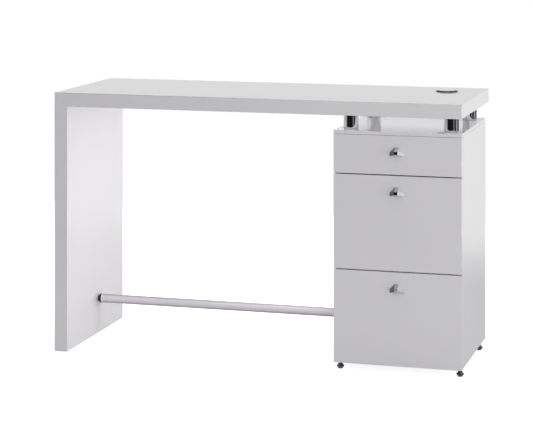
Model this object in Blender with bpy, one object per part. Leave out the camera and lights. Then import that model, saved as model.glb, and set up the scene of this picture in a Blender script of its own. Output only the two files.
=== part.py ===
"""White manicure table: a mitred top and leg panel beside a three-drawer pedestal on chrome posts.

Metres, +Z up. The floor is z = 0, +X runs along the table towards the pedestal, and -Y is the
side that the drawers open to. The origin lies on the floor, below the middle of the bounding box.
"""

import math

import bmesh
import bpy
from mathutils import Vector

# Overall sizes
WIDTH = 1.200
DEPTH = 0.465
HEIGHT = 0.755
BOARD_THICKNESS = 0.040
GAP = 0.0003  # left between pieces that rest on or in each other

# Pedestal
PEDESTAL_WIDTH = 0.362
PEDESTAL_DEPTH = 0.404
PEDESTAL_BOTTOM_Z = 0.0245
PEDESTAL_TOP_Z = 0.674
PEDESTAL_TOP_THICKNESS = 0.010
SIDE_THICKNESS = 0.018
BACK_THICKNESS = 0.012
PANEL_EDGE = 0.0008  # chamfer on the edges of a panel

# Spacer posts between the pedestal and the top
POST_RADIUS = 0.021
POST_BORE_RADIUS = 0.0045
POST_SIDE_INSET = 0.038
POST_FRONT_INSET = 0.054
POST_BACK_INSET = 0.054
BOLT_RADIUS = 0.0040
BOLT_HEAD_RADIUS = 0.0075
BOLT_HEAD_HEIGHT = 0.0045
BOLT_SOCKET_RADIUS = 0.0032
BOLT_SOCKET_DEPTH = 0.0025
BOLT_REACH = 0.020  # how far a bolt goes up into the top
METAL_EDGE = 0.0008  # chamfer on turned metal pieces
BORE_SPARE = 0.002  # depth of a blind hole beyond what it holds

# Feet and glides
FOOT_STEM_RADIUS = 0.0030
FOOT_BORE_RADIUS = 0.0034
FOOT_STEM_LENGTH = 0.020
FOOT_BORE_DEPTH = 0.024
FOOT_NECK_RADIUS = 0.0046
FOOT_PAD_RADIUS = 0.0110
FOOT_SOLE_RADIUS = 0.0062
FOOT_NECK_LOW_Z = 0.0160
FOOT_SHOULDER_Z = 0.0088
FOOT_PAD_HIGH_Z = 0.0078
FOOT_PAD_LOW_Z = 0.0060
FOOT_SIDE_INSET = 0.011
FOOT_FRONT_INSET = 0.038
FOOT_BACK_INSET = 0.048
GLIDE_RADIUS = 0.010
GLIDE_HEIGHT = 0.001
GLIDE_PIN_RADIUS = 0.0012
GLIDE_PIN_LENGTH = 0.012
GLIDE_INSET = 0.045

# Foot rail
RAIL_RADIUS = 0.0128
RAIL_WALL = 0.0012
RAIL_Z = 0.1065
RAIL_FRONT_INSET = 0.254
SOCKET_RADIUS = 0.0152
SOCKET_LENGTH = 0.0155
SOCKET_FLOOR = 0.009  # from the panel to where the tube ends
# The socket's flared outside: (height above the panel, share of its radius)
SOCKET_FLARE = ((0.0105, 1.0), (0.0090, 0.975), (0.0060, 0.87), (0.0030, 0.71), (0.0, 0.53))

# Cable grommet in the top
GROMMET_RIGHT_INSET = 0.104
GROMMET_FRONT_INSET = 0.345
GROMMET_FLANGE_RADIUS = 0.0320
GROMMET_FLANGE_HEIGHT = 0.0024
GROMMET_FLANGE_EDGE = 0.0014
GROMMET_HOLE_RADIUS = 0.0285
GROMMET_SLEEVE_WALL = 0.0022
GROMMET_SLEEVE_DEPTH = 0.030
GROMMET_LEDGE_RADIUS = 0.0232
GROMMET_LEDGE_DEPTH = 0.004
GROMMET_LEDGE_THICKNESS = 0.0015
CAP_RADIUS = 0.0250
CAP_RISE = 0.0050  # height of the cap above the top's surface
CAP_EDGE = 0.0012
CABLE_SLOT_WIDTH = 0.016
CABLE_SLOT_INNER = 0.012  # from the cap's axis to the slot's closed end

# Joint between the top and the leg panel
SPLINE_WIDTH = 0.020
SPLINE_THICKNESS = 0.004
SPLINE_END_INSET = 0.025

# Drawers, from the lowest to the uppermost
DRAWER_NAMES = ("lower", "middle", "upper")
FRONT_HEIGHTS = {"lower": 0.2605, "middle": 0.264, "upper": 0.1083}
BOX_HEIGHTS = {"lower": 0.180, "middle": 0.180, "upper": 0.070}
FRONT_THICKNESS = 0.018
FRONT_STANDOFF = 0.002  # between a front's back face and the pedestal's side panels
FRONT_SPACING = 0.003
BOX_FOOT = {"lower": 0.030, "middle": 0.016, "upper": 0.012}  # from a front's lower edge
BOX_WALL = 0.012
BOX_LENGTH = 0.350
BOX_BOTTOM_THICKNESS = 0.006
BOX_GROOVE_DEPTH = 0.006
BOX_GROOVE_HEIGHT = 0.010
GROOVE_RUNOUT = 0.010  # how far the groove's cutter passes the open end

# Telescopic slides, one on each side of a drawer
SLIDE_THICKNESS = 0.0127
SLIDE_LENGTH = 0.350
SLIDE_SHEET = 0.0012
SLIDE_FRONT_INSET = 0.001  # behind the side panels' front edges
# Each member is a folded channel: its height, then where its web's outer face and its lips' edges
# lie, as offsets from the side panel.
SLIDE_MEMBERS = {
    "cabinet": (0.045, GAP, 0.0110),
    "middle": (0.039, 0.0036, 0.0108),
    "drawer": (0.033, SLIDE_THICKNESS, 0.0062),
}
SLIDE_CENTRE_HEIGHT = {"lower": 0.060, "middle": 0.060, "upper": 0.035}  # above the box's edge

# Pulls
PULL_REACH = 0.020
PULL_HEIGHT = 0.0259
PULL_FOOT_WIDTH = 0.042
PULL_CREST_WIDTH = 0.010
PULL_END_HEIGHT = 0.0108  # of the upright ends of its foot
PULL_NOSE_SIZE = 0.0095
PULL_NOSE_RISE = 0.0063
PULL_EDGE = 0.0005
PULL_BELOW_TOP = 0.044  # from a front's upper edge to the pull's middle
PULL_SCREW_RADIUS = 0.0019
PULL_SCREW_BORE = 0.0022
PULL_SCREW_REACH = 0.008
PULL_SCREW_HEAD_RADIUS = 0.0040
PULL_SCREW_HEAD_HEIGHT = 0.0024

# Places that follow from the sizes
LEFT_X = -WIDTH / 2
RIGHT_X = WIDTH / 2
FRONT_Y = -(DEPTH - PULL_REACH) / 2
BACK_Y = FRONT_Y + DEPTH
BOARD_BOTTOM_Z = HEIGHT - BOARD_THICKNESS
PEDESTAL_LEFT_X = RIGHT_X - PEDESTAL_WIDTH
PEDESTAL_CENTRE_X = RIGHT_X - PEDESTAL_WIDTH / 2
PEDESTAL_BACK_Y = FRONT_Y + PEDESTAL_DEPTH
INSIDE_LEFT_X = PEDESTAL_LEFT_X + SIDE_THICKNESS
INSIDE_RIGHT_X = RIGHT_X - SIDE_THICKNESS
CARCASS_FRONT_Y = FRONT_Y + FRONT_THICKNESS + FRONT_STANDOFF
CARCASS_TOP_Z = PEDESTAL_TOP_Z - PEDESTAL_TOP_THICKNESS
MITRE_CENTRE = Vector((LEFT_X + BOARD_THICKNESS / 2, HEIGHT - BOARD_THICKNESS / 2))


def make_material(name, colour, roughness, metallic):
    material = bpy.data.materials.new(name)
    material.use_nodes = True
    shader = material.node_tree.nodes["Principled BSDF"]
    shader.inputs["Base Color"].default_value = (*colour, 1.0)
    shader.inputs["Roughness"].default_value = roughness
    shader.inputs["Metallic"].default_value = metallic
    material.diffuse_color = (*colour, 1.0)
    return material


def make_materials():
    return {
        "lacquer": make_material("white_lacquer", (0.80, 0.80, 0.81), 0.12, 0.0),
        "chrome": make_material("chrome", (0.75, 0.76, 0.77), 0.06, 1.0),
        "rail": make_material("satin_steel", (0.62, 0.63, 0.64), 0.30, 1.0),
        "black": make_material("black_nickel", (0.05, 0.05, 0.055), 0.25, 0.6),
        "glide": make_material("glide_plastic", (0.10, 0.10, 0.10), 0.55, 0.0),
        "melamine": make_material("white_melamine", (0.72, 0.72, 0.71), 0.45, 0.0),
        "zinc": make_material("zinc_plate", (0.55, 0.56, 0.57), 0.35, 1.0),
        "beech": make_material("beech", (0.48, 0.31, 0.17), 0.60, 0.0),
    }


def add_object(name, mesh, location, material, parent=None):
    """A visible piece. `location` is in world coordinates, also when it has a parent."""
    piece = bpy.data.objects.new(name, mesh)
    bpy.context.scene.collection.objects.link(piece)
    piece.location = location
    if parent is not None:
        piece.parent = parent
        piece.location = Vector(location) - parent.location
    mesh.materials.append(material)
    return piece


def add_empty(name, location):
    empty = bpy.data.objects.new(name, None)
    empty.empty_display_size = 0.05
    empty.location = location
    bpy.context.scene.collection.objects.link(empty)
    return empty


def mesh_from(bm, name):
    bmesh.ops.recalc_face_normals(bm, faces=bm.faces)
    mesh = bpy.data.meshes.new(name)
    bm.to_mesh(mesh)
    bm.free()
    return mesh


def block_mesh(name, size, edge=0.0):
    bm = bmesh.new()
    bmesh.ops.create_cube(bm, size=1.0)
    bmesh.ops.scale(bm, vec=size, verts=bm.verts)
    if edge:
        bmesh.ops.bevel(bm, geom=bm.edges[:], offset=edge, segments=1, affect="EDGES")
    return mesh_from(bm, name)


def block(name, low, high, material, parent=None, edge=0.0):
    """A box between two corners, with its origin in the middle."""
    low, high = Vector(low), Vector(high)
    mesh = block_mesh(name, high - low, edge)
    return add_object(name, mesh, (low + high) / 2, material, parent)


def extruded_mesh(name, outline, direction):
    """A flat outline pushed along one direction."""
    bm = bmesh.new()
    face = bm.faces.new([bm.verts.new(point) for point in outline])
    pushed = bmesh.ops.extrude_face_region(bm, geom=[face])
    moved = [item for item in pushed["geom"] if isinstance(item, bmesh.types.BMVert)]
    bmesh.ops.translate(bm, vec=direction, verts=moved)
    return mesh_from(bm, name)


def turned_mesh(name, profile, segments):
    """A profile of (radius, z) points turned about Z. A profile with no point on the axis is a ring."""
    bm = bmesh.new()
    rings = []
    for radius, height in profile:
        if radius == 0.0:
            rings.append([bm.verts.new((0.0, 0.0, height))])
            continue
        angles = [2 * math.pi * i / segments for i in range(segments)]
        rings.append(
            [bm.verts.new((radius * math.cos(a), radius * math.sin(a), height)) for a in angles]
        )
    closed = len(rings[0]) > 1
    pairs = list(zip(rings, rings[1:] + rings[:1])) if closed else list(zip(rings, rings[1:]))
    for upper, lower in pairs:
        for i in range(segments):
            j = (i + 1) % segments
            corners = [upper[i % len(upper)], upper[j % len(upper)]]
            corners += [lower[j % len(lower)], lower[i % len(lower)]]
            bm.faces.new(dict.fromkeys(corners))
    return mesh_from(bm, name)


def smooth(mesh, angle_deg=30):
    mesh.shade_smooth()
    mesh.set_sharp_from_angle(angle=math.radians(angle_deg))
    return mesh


def turned(name, profile, location, material, segments=32, parent=None):
    mesh = smooth(turned_mesh(name, profile, segments))
    return add_object(name, mesh, location, material, parent)


def cut(piece, cutter_mesh, location, rotation=(0.0, 0.0, 0.0)):
    """Cuts one shape out of a piece. `location` is in world coordinates."""
    cutter = bpy.data.objects.new(f"cutter_{cutter_mesh.name}", cutter_mesh)
    bpy.context.scene.collection.objects.link(cutter)
    cutter.location = location
    cutter.rotation_euler = rotation
    cutter.hide_render = True
    cutter.display_type = "WIRE"
    boolean = piece.modifiers.new(cutter.name, "BOOLEAN")
    boolean.operation = "DIFFERENCE"
    boolean.solver = "EXACT"
    boolean.object = cutter


def hole_mesh(name, radius, length, segments=24):
    """A cylinder from z = 0 to z = length, for cutting a round hole."""
    return turned_mesh(name, [(0, length), (radius, length), (radius, 0), (0, 0)], segments)


def post_places():
    """(name, x, y) of the four corners that the spacer posts stand on."""
    xs = {
        "left": PEDESTAL_LEFT_X + POST_SIDE_INSET,
        "right": RIGHT_X - POST_SIDE_INSET,
    }
    ys = {
        "front": FRONT_Y + POST_FRONT_INSET,
        "back": PEDESTAL_BACK_Y - POST_BACK_INSET,
    }
    return [(f"{row}_{side}", x, y) for row, y in ys.items() for side, x in xs.items()]


def foot_places():
    """(name, x, y) of the four levelling feet, each under the edge of a side panel."""
    xs = {
        "left": PEDESTAL_LEFT_X + FOOT_SIDE_INSET,
        "right": RIGHT_X - FOOT_SIDE_INSET,
    }
    ys = {
        "front": FRONT_Y + FOOT_FRONT_INSET,
        "back": PEDESTAL_BACK_Y - FOOT_BACK_INSET,
    }
    return [(f"{row}_{side}", x, y) for row, y in ys.items() for side, x in xs.items()]


def glide_places():
    x = LEFT_X + BOARD_THICKNESS / 2
    return [("front", x, FRONT_Y + GLIDE_INSET), ("back", x, BACK_Y - GLIDE_INSET)]


def grommet_centre(height):
    return Vector((RIGHT_X - GROMMET_RIGHT_INSET, FRONT_Y + GROMMET_FRONT_INSET, height))


def spline_groove(name):
    """The groove for the spline, with its length along Y, its width along X and centred on 0."""
    length = DEPTH - 2 * (SPLINE_END_INSET - GAP)
    size = (SPLINE_WIDTH + 2 * GAP, length, SPLINE_THICKNESS + 2 * GAP)
    return block_mesh(name, size)


def across_mitre():
    """Place and turn of what lies square to the mitre: its X axis points up and to the right."""
    middle_y = (FRONT_Y + BACK_Y) / 2
    return (MITRE_CENTRE.x, middle_y, MITRE_CENTRE.y), (0.0, -math.radians(45), 0.0)


def make_table_top(material):
    """The top, mitred at its left end, with its grommet hole and the holes for the post bolts."""
    outline = [
        (LEFT_X, FRONT_Y, HEIGHT),
        (LEFT_X + BOARD_THICKNESS, FRONT_Y, BOARD_BOTTOM_Z),
        (RIGHT_X, FRONT_Y, BOARD_BOTTOM_Z),
        (RIGHT_X, FRONT_Y, HEIGHT),
    ]
    mesh = extruded_mesh("table_top", outline, (0, DEPTH, 0))
    top = add_object("table_top", mesh, (0, 0, 0), material)
    hole = hole_mesh("grommet_hole", GROMMET_HOLE_RADIUS, 2 * BOARD_THICKNESS, 48)
    cut(top, hole, grommet_centre(BOARD_BOTTOM_Z - BOARD_THICKNESS / 2))
    depth = BOLT_REACH + BORE_SPARE
    for place, x, y in post_places():
        bore = hole_mesh(f"bolt_bore_{place}", BOLT_RADIUS + GAP, 2 * depth, 16)
        cut(top, bore, (x, y, BOARD_BOTTOM_Z - depth))
    cut(top, spline_groove("spline_groove_top"), *across_mitre())
    return top


def make_leg_panel(material):
    """The leg panel, mitred at its upper end and standing on two glides."""
    mitre_gap = GAP * math.sqrt(2)
    outline = [
        (LEFT_X, FRONT_Y, GLIDE_HEIGHT),
        (LEFT_X + BOARD_THICKNESS, FRONT_Y, GLIDE_HEIGHT),
        (LEFT_X + BOARD_THICKNESS, FRONT_Y, BOARD_BOTTOM_Z - mitre_gap),
        (LEFT_X, FRONT_Y, HEIGHT - mitre_gap),
    ]
    mesh = extruded_mesh("leg_panel", outline, (0, DEPTH, 0))
    leg = add_object("leg_panel", mesh, (0, 0, 0), material)
    cut(leg, spline_groove("spline_groove_leg"), *across_mitre())
    depth = GLIDE_PIN_LENGTH + BORE_SPARE
    for place, x, y in glide_places():
        bore = hole_mesh(f"glide_bore_{place}", GLIDE_PIN_RADIUS + GAP, 2 * depth, 12)
        cut(leg, bore, (x, y, GLIDE_HEIGHT - depth))
    return leg


def make_mitre_spline(material):
    length = DEPTH - 2 * SPLINE_END_INSET
    mesh = block_mesh("mitre_spline", (SPLINE_WIDTH, length, SPLINE_THICKNESS))
    location, rotation = across_mitre()
    spline = add_object("mitre_spline", mesh, location, material)
    spline.rotation_euler = rotation
    return spline


def make_leg_glides(material):
    plate_top = GLIDE_HEIGHT - GAP
    pin_top = GLIDE_HEIGHT + GLIDE_PIN_LENGTH
    profile = [
        (0, pin_top),
        (GLIDE_PIN_RADIUS, pin_top),
        (GLIDE_PIN_RADIUS, plate_top),
        (GLIDE_RADIUS, plate_top),
        (GLIDE_RADIUS, plate_top / 2),
        (GLIDE_RADIUS - plate_top / 2, 0),
        (0, 0),
    ]
    for place, x, y in glide_places():
        turned(f"leg_glide_{place}", profile, (x, y, 0), material, 20)


def make_grommet(ring_material, cap_material):
    """A flanged ring let into the top, and a cap that turns on the ring's inner ledge."""
    sleeve_outer = GROMMET_HOLE_RADIUS - GAP
    sleeve_inner = sleeve_outer - GROMMET_SLEEVE_WALL
    flange_low = GAP
    flange_high = GAP + GROMMET_FLANGE_HEIGHT
    ledge_top = -GROMMET_LEDGE_DEPTH
    ledge_low = ledge_top - GROMMET_LEDGE_THICKNESS
    ring = [
        (sleeve_inner, flange_high),
        (sleeve_inner, ledge_top),
        (GROMMET_LEDGE_RADIUS, ledge_top),
        (GROMMET_LEDGE_RADIUS, ledge_low),
        (sleeve_inner, ledge_low),
        (sleeve_inner, -GROMMET_SLEEVE_DEPTH),
        (sleeve_outer, -GROMMET_SLEEVE_DEPTH),
        (sleeve_outer, flange_low),
        (GROMMET_FLANGE_RADIUS, flange_low),
        (GROMMET_FLANGE_RADIUS, flange_high - GROMMET_FLANGE_EDGE),
        (GROMMET_FLANGE_RADIUS - GROMMET_FLANGE_EDGE, flange_high),
    ]
    turned("grommet_ring", ring, grommet_centre(HEIGHT), ring_material, 48)
    cap_low = ledge_top + GAP
    cap = [
        (0, CAP_RISE),
        (CAP_RADIUS - CAP_EDGE, CAP_RISE),
        (CAP_RADIUS, CAP_RISE - CAP_EDGE),
        (CAP_RADIUS, cap_low),
        (0, cap_low),
    ]
    cap_piece = turned("grommet_cap", cap, grommet_centre(HEIGHT), cap_material, 48)
    slot_length = CAP_RADIUS
    slot = block_mesh("cable_slot", (CABLE_SLOT_WIDTH, slot_length, BOARD_THICKNESS))
    middle = grommet_centre(HEIGHT)
    middle.y += CABLE_SLOT_INNER + slot_length / 2
    cut(cap_piece, slot, middle)


def make_spacer_posts(material):
    low = PEDESTAL_TOP_Z + GAP
    high = BOARD_BOTTOM_Z - GAP
    profile = [
        (POST_BORE_RADIUS, high),
        (POST_BORE_RADIUS, low),
        (POST_RADIUS - METAL_EDGE, low),
        (POST_RADIUS, low + METAL_EDGE),
        (POST_RADIUS, high - METAL_EDGE),
        (POST_RADIUS - METAL_EDGE, high),
    ]
    for place, x, y in post_places():
        turned(f"spacer_post_{place}", profile, (x, y, 0), material, 40)


def make_post_bolts(material):
    """Socket-head bolts from under the pedestal's top, through the posts and into the table top."""
    head_high = CARCASS_TOP_Z - GAP
    head_low = head_high - BOLT_HEAD_HEIGHT
    tip = BOARD_BOTTOM_Z + BOLT_REACH
    profile = [
        (0, tip),
        (BOLT_RADIUS - METAL_EDGE, tip),
        (BOLT_RADIUS, tip - METAL_EDGE),
        (BOLT_RADIUS, head_high),
        (BOLT_HEAD_RADIUS, head_high),
        (BOLT_HEAD_RADIUS, head_low),
        (0, head_low),
    ]
    for place, x, y in post_places():
        bolt = turned(f"post_bolt_{place}", profile, (x, y, 0), material, 20)
        socket = hole_mesh(f"bolt_socket_{place}", BOLT_SOCKET_RADIUS, 2 * BOLT_SOCKET_DEPTH, 6)
        cut(bolt, socket, (x, y, head_low - BOLT_SOCKET_DEPTH))


def make_pedestal_panels(material):
    panel_high = CARCASS_TOP_Z - GAP
    sides = {"left": PEDESTAL_LEFT_X, "right": RIGHT_X - SIDE_THICKNESS}
    made = {}
    for side, x in sides.items():
        made[side] = block(
            f"pedestal_side_{side}",
            (x, CARCASS_FRONT_Y, PEDESTAL_BOTTOM_Z),
            (x + SIDE_THICKNESS, PEDESTAL_BACK_Y, panel_high),
            material,
            edge=PANEL_EDGE,
        )
    for place, x, y in foot_places():
        bore = hole_mesh(f"foot_bore_{place}", FOOT_BORE_RADIUS, 2 * FOOT_BORE_DEPTH, 16)
        side = place.split("_")[1]
        cut(made[side], bore, (x, y, PEDESTAL_BOTTOM_Z - FOOT_BORE_DEPTH))

    top = block(
        "pedestal_top",
        (PEDESTAL_LEFT_X, FRONT_Y, CARCASS_TOP_Z),
        (RIGHT_X, PEDESTAL_BACK_Y, PEDESTAL_TOP_Z),
        material,
        edge=PANEL_EDGE,
    )
    for place, x, y in post_places():
        length = 3 * PEDESTAL_TOP_THICKNESS
        bore = hole_mesh(f"top_bore_{place}", BOLT_RADIUS + 2 * GAP, length, 16)
        cut(top, bore, (x, y, CARCASS_TOP_Z - PEDESTAL_TOP_THICKNESS))

    back_front_y = PEDESTAL_BACK_Y - BACK_THICKNESS
    block(
        "pedestal_back",
        (INSIDE_LEFT_X + GAP, back_front_y, PEDESTAL_BOTTOM_Z),
        (INSIDE_RIGHT_X - GAP, PEDESTAL_BACK_Y, panel_high),
        material,
    )
    block(
        "pedestal_bottom",
        (INSIDE_LEFT_X + GAP, CARCASS_FRONT_Y, PEDESTAL_BOTTOM_Z),
        (INSIDE_RIGHT_X - GAP, back_front_y - GAP, PEDESTAL_BOTTOM_Z + SIDE_THICKNESS),
        material,
    )


def make_levelling_feet(material):
    """Screw feet: a waisted neck over a wide pad that narrows again to its sole."""
    neck_high = PEDESTAL_BOTTOM_Z - GAP
    stem_top = PEDESTAL_BOTTOM_Z + FOOT_STEM_LENGTH
    profile = [
        (0, stem_top),
        (FOOT_STEM_RADIUS, stem_top),
        (FOOT_STEM_RADIUS, neck_high),
        (FOOT_NECK_RADIUS, neck_high),
        (FOOT_NECK_RADIUS, FOOT_NECK_LOW_Z),
        (FOOT_PAD_RADIUS - METAL_EDGE, FOOT_SHOULDER_Z),
        (FOOT_PAD_RADIUS, FOOT_PAD_HIGH_Z),
        (FOOT_PAD_RADIUS, FOOT_PAD_LOW_Z),
        (FOOT_SOLE_RADIUS, METAL_EDGE),
        (FOOT_SOLE_RADIUS - METAL_EDGE, 0),
        (0, 0),
    ]
    for place, x, y in foot_places():
        turned(f"levelling_foot_{place}", profile, (x, y, 0), material, 24)


def make_foot_rail(rail_material, socket_material):
    """A tube between two flared sockets, one on the leg panel and one on the pedestal."""
    y = FRONT_Y + RAIL_FRONT_INSET
    left_wall = LEFT_X + BOARD_THICKNESS + GAP
    right_wall = PEDESTAL_LEFT_X - GAP
    tube_inner = RAIL_RADIUS - RAIL_WALL
    start = left_wall + SOCKET_FLOOR + GAP
    length = right_wall - left_wall - 2 * (SOCKET_FLOOR + GAP)
    tube = [(tube_inner, length), (tube_inner, 0), (RAIL_RADIUS, 0), (RAIL_RADIUS, length)]
    rail = turned("foot_rail", tube, (start, y, RAIL_Z), rail_material, 32)
    rail.rotation_euler = (0, math.radians(90), 0)

    bore = RAIL_RADIUS + GAP
    socket = [
        (0, SOCKET_FLOOR),
        (bore, SOCKET_FLOOR),
        (bore, SOCKET_LENGTH),
        (SOCKET_RADIUS - METAL_EDGE, SOCKET_LENGTH),
        (SOCKET_RADIUS, SOCKET_LENGTH - METAL_EDGE),
    ]
    socket += [(SOCKET_RADIUS * share, height) for height, share in SOCKET_FLARE]
    socket.append((0, 0))
    for side, x, turn in (("left", left_wall, 90), ("right", right_wall, -90)):
        cup = turned(f"rail_socket_{side}", socket, (x, y, RAIL_Z), socket_material, 32)
        cup.rotation_euler = (0, math.radians(turn), 0)


def slide_profile(member):
    """(offset from the side panel, height) of the corners of one folded slide member."""
    height, web_outer, lip = SLIDE_MEMBERS[member]
    half = height / 2
    web_inner = web_outer + math.copysign(SLIDE_SHEET, lip - web_outer)
    return [
        (web_outer, -half),
        (lip, -half),
        (lip, -half + SLIDE_SHEET),
        (web_inner, -half + SLIDE_SHEET),
        (web_inner, half - SLIDE_SHEET),
        (lip, half - SLIDE_SHEET),
        (lip, half),
        (web_outer, half),
    ]


def make_slide_member(drawer, side, member, centre_z, material, parent):
    name = f"slide_{drawer}_{side}_{member}"
    wall_x = INSIDE_LEFT_X if side == "left" else INSIDE_RIGHT_X
    inwards = 1 if side == "left" else -1
    front = CARCASS_FRONT_Y + SLIDE_FRONT_INSET
    outline = [(inwards * offset, 0, height) for offset, height in slide_profile(member)]
    mesh = extruded_mesh(name, outline, (0, SLIDE_LENGTH, 0))
    add_object(name, mesh, (wall_x, front, centre_z), material, parent)


def pull_mesh(name):
    """A faceted wedge. Its back lies on y = 0, its nose points to -Y, and z = 0 is its middle."""
    low = -PULL_HEIGHT / 2
    high = PULL_HEIGHT / 2
    nose_low = low + PULL_NOSE_RISE
    nose_high = nose_low + PULL_NOSE_SIZE
    corners = []
    for sign in (-1, 1):
        corners.append((sign * PULL_FOOT_WIDTH / 2, 0, low))
        corners.append((sign * PULL_FOOT_WIDTH / 2, 0, low + PULL_END_HEIGHT))
        corners.append((sign * PULL_CREST_WIDTH / 2, 0, high))
        corners.append((sign * PULL_NOSE_SIZE / 2, -(PULL_REACH - GAP), nose_low))
        corners.append((sign * PULL_NOSE_SIZE / 2, -(PULL_REACH - GAP), nose_high))
    bm = bmesh.new()
    for corner in corners:
        bm.verts.new(corner)
    bmesh.ops.convex_hull(bm, input=bm.verts)
    bmesh.ops.dissolve_limit(
        bm, angle_limit=math.radians(1), verts=bm.verts[:], edges=bm.edges[:]
    )
    bmesh.ops.bevel(bm, geom=bm.edges[:], offset=PULL_EDGE, segments=2, affect="EDGES")
    return smooth(mesh_from(bm, name), 50)


def make_pull(drawer, front_piece, centre_z, materials, parent):
    """The pull, and the screw that holds it from inside the drawer."""
    pull_name = f"drawer_{drawer}_pull"
    place = (PEDESTAL_CENTRE_X, FRONT_Y - GAP, centre_z)
    pull = add_object(pull_name, pull_mesh(pull_name), place, materials["chrome"], parent)
    towards_front = (math.radians(90), 0, 0)

    inside_y = FRONT_Y + FRONT_THICKNESS + GAP
    shank = FRONT_THICKNESS + PULL_SCREW_REACH
    screw_profile = [
        (0, shank),
        (PULL_SCREW_RADIUS - PULL_EDGE, shank),
        (PULL_SCREW_RADIUS, shank - PULL_EDGE),
        (PULL_SCREW_RADIUS, 0),
        (PULL_SCREW_HEAD_RADIUS, 0),
        (PULL_SCREW_HEAD_RADIUS, METAL_EDGE - PULL_SCREW_HEAD_HEIGHT),
        (PULL_SCREW_HEAD_RADIUS - METAL_EDGE, -PULL_SCREW_HEAD_HEIGHT),
        (0, -PULL_SCREW_HEAD_HEIGHT),
    ]
    screw_place = (PEDESTAL_CENTRE_X, inside_y, centre_z)
    screw = turned(
        f"drawer_{drawer}_pull_screw", screw_profile, screw_place, materials["zinc"], 16, parent
    )
    screw.rotation_euler = towards_front

    bore_length = FRONT_THICKNESS + PULL_SCREW_REACH + 2 * BORE_SPARE
    for piece in (pull, front_piece):
        bore = hole_mesh(f"screw_bore_{piece.name}", PULL_SCREW_BORE, bore_length, 16)
        cut(piece, bore, (PEDESTAL_CENTRE_X, inside_y + BORE_SPARE, centre_z), towards_front)


def make_drawer_box(drawer, low, materials, parent):
    """Sides and back in one folded wrap, and a bottom held in a groove."""
    front = FRONT_Y + FRONT_THICKNESS + GAP
    back = front + BOX_LENGTH
    outer = PEDESTAL_WIDTH / 2 - SIDE_THICKNESS - SLIDE_THICKNESS - GAP
    inner = outer - BOX_WALL
    outline = [
        (-outer, front, low),
        (-inner, front, low),
        (-inner, back - BOX_WALL, low),
        (inner, back - BOX_WALL, low),
        (inner, front, low),
        (outer, front, low),
        (outer, back, low),
        (-outer, back, low),
    ]
    name = f"drawer_{drawer}_wrap"
    mesh = extruded_mesh(name, outline, (0, 0, BOX_HEIGHTS[drawer]))
    wrap = add_object(name, mesh, (PEDESTAL_CENTRE_X, 0, 0), materials["melamine"], parent)

    groove_low = low + BOX_GROOVE_HEIGHT
    groove_high = groove_low + BOX_BOTTOM_THICKNESS + 2 * GAP
    groove_x = inner + BOX_GROOVE_DEPTH
    groove_front = front - GROOVE_RUNOUT
    groove_back = back - BOX_WALL + BOX_GROOVE_DEPTH
    groove_size = (2 * groove_x, groove_back - groove_front, groove_high - groove_low)
    groove_middle = (
        PEDESTAL_CENTRE_X,
        (groove_front + groove_back) / 2,
        (groove_low + groove_high) / 2,
    )
    cut(wrap, block_mesh(f"groove_{drawer}", groove_size), groove_middle)
    block(
        f"drawer_{drawer}_bottom",
        (PEDESTAL_CENTRE_X - groove_x + GAP, front, groove_low + GAP),
        (PEDESTAL_CENTRE_X + groove_x - GAP, groove_back - GAP, groove_high - GAP),
        materials["melamine"],
        parent,
    )


def make_drawer(drawer, front_low, materials):
    """One drawer with its slides. Its pieces hang from an empty on the axis that it slides along."""
    front_high = front_low + FRONT_HEIGHTS[drawer]
    box_low = front_low + BOX_FOOT[drawer]
    slide_z = box_low + SLIDE_CENTRE_HEIGHT[drawer]
    axis_point = (PEDESTAL_CENTRE_X, FRONT_Y, slide_z)
    drawer_empty = add_empty(f"drawer_{drawer}_motion", axis_point)
    middle_empty = add_empty(f"slide_{drawer}_middle_motion", axis_point)

    front_piece = block(
        f"drawer_{drawer}_front",
        (PEDESTAL_LEFT_X, FRONT_Y, front_low),
        (RIGHT_X, FRONT_Y + FRONT_THICKNESS, front_high),
        materials["lacquer"],
        drawer_empty,
        PANEL_EDGE,
    )
    make_drawer_box(drawer, box_low, materials, drawer_empty)
    make_pull(drawer, front_piece, front_high - PULL_BELOW_TOP, materials, drawer_empty)
    parents = {"cabinet": None, "middle": middle_empty, "drawer": drawer_empty}
    for side in ("left", "right"):
        for member, parent in parents.items():
            make_slide_member(drawer, side, member, slide_z, materials["zinc"], parent)


def clear_scene():
    for item in list(bpy.data.objects):
        bpy.data.objects.remove(item, do_unlink=True)


def main():
    clear_scene()
    materials = make_materials()
    make_table_top(materials["lacquer"])
    make_leg_panel(materials["lacquer"])
    make_mitre_spline(materials["beech"])
    make_leg_glides(materials["glide"])
    make_grommet(materials["black"], materials["chrome"])
    make_spacer_posts(materials["chrome"])
    make_post_bolts(materials["zinc"])
    make_pedestal_panels(materials["lacquer"])
    make_levelling_feet(materials["black"])
    make_foot_rail(materials["rail"], materials["black"])
    front_low = PEDESTAL_BOTTOM_Z
    for drawer in DRAWER_NAMES:
        make_drawer(drawer, front_low, materials)
        front_low += FRONT_HEIGHTS[drawer] + FRONT_SPACING


main()
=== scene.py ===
"""The manicure table as it looks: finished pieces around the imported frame, studio light and camera."""

import math

import bmesh
import bpy
from mathutils import Matrix, Vector


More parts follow.
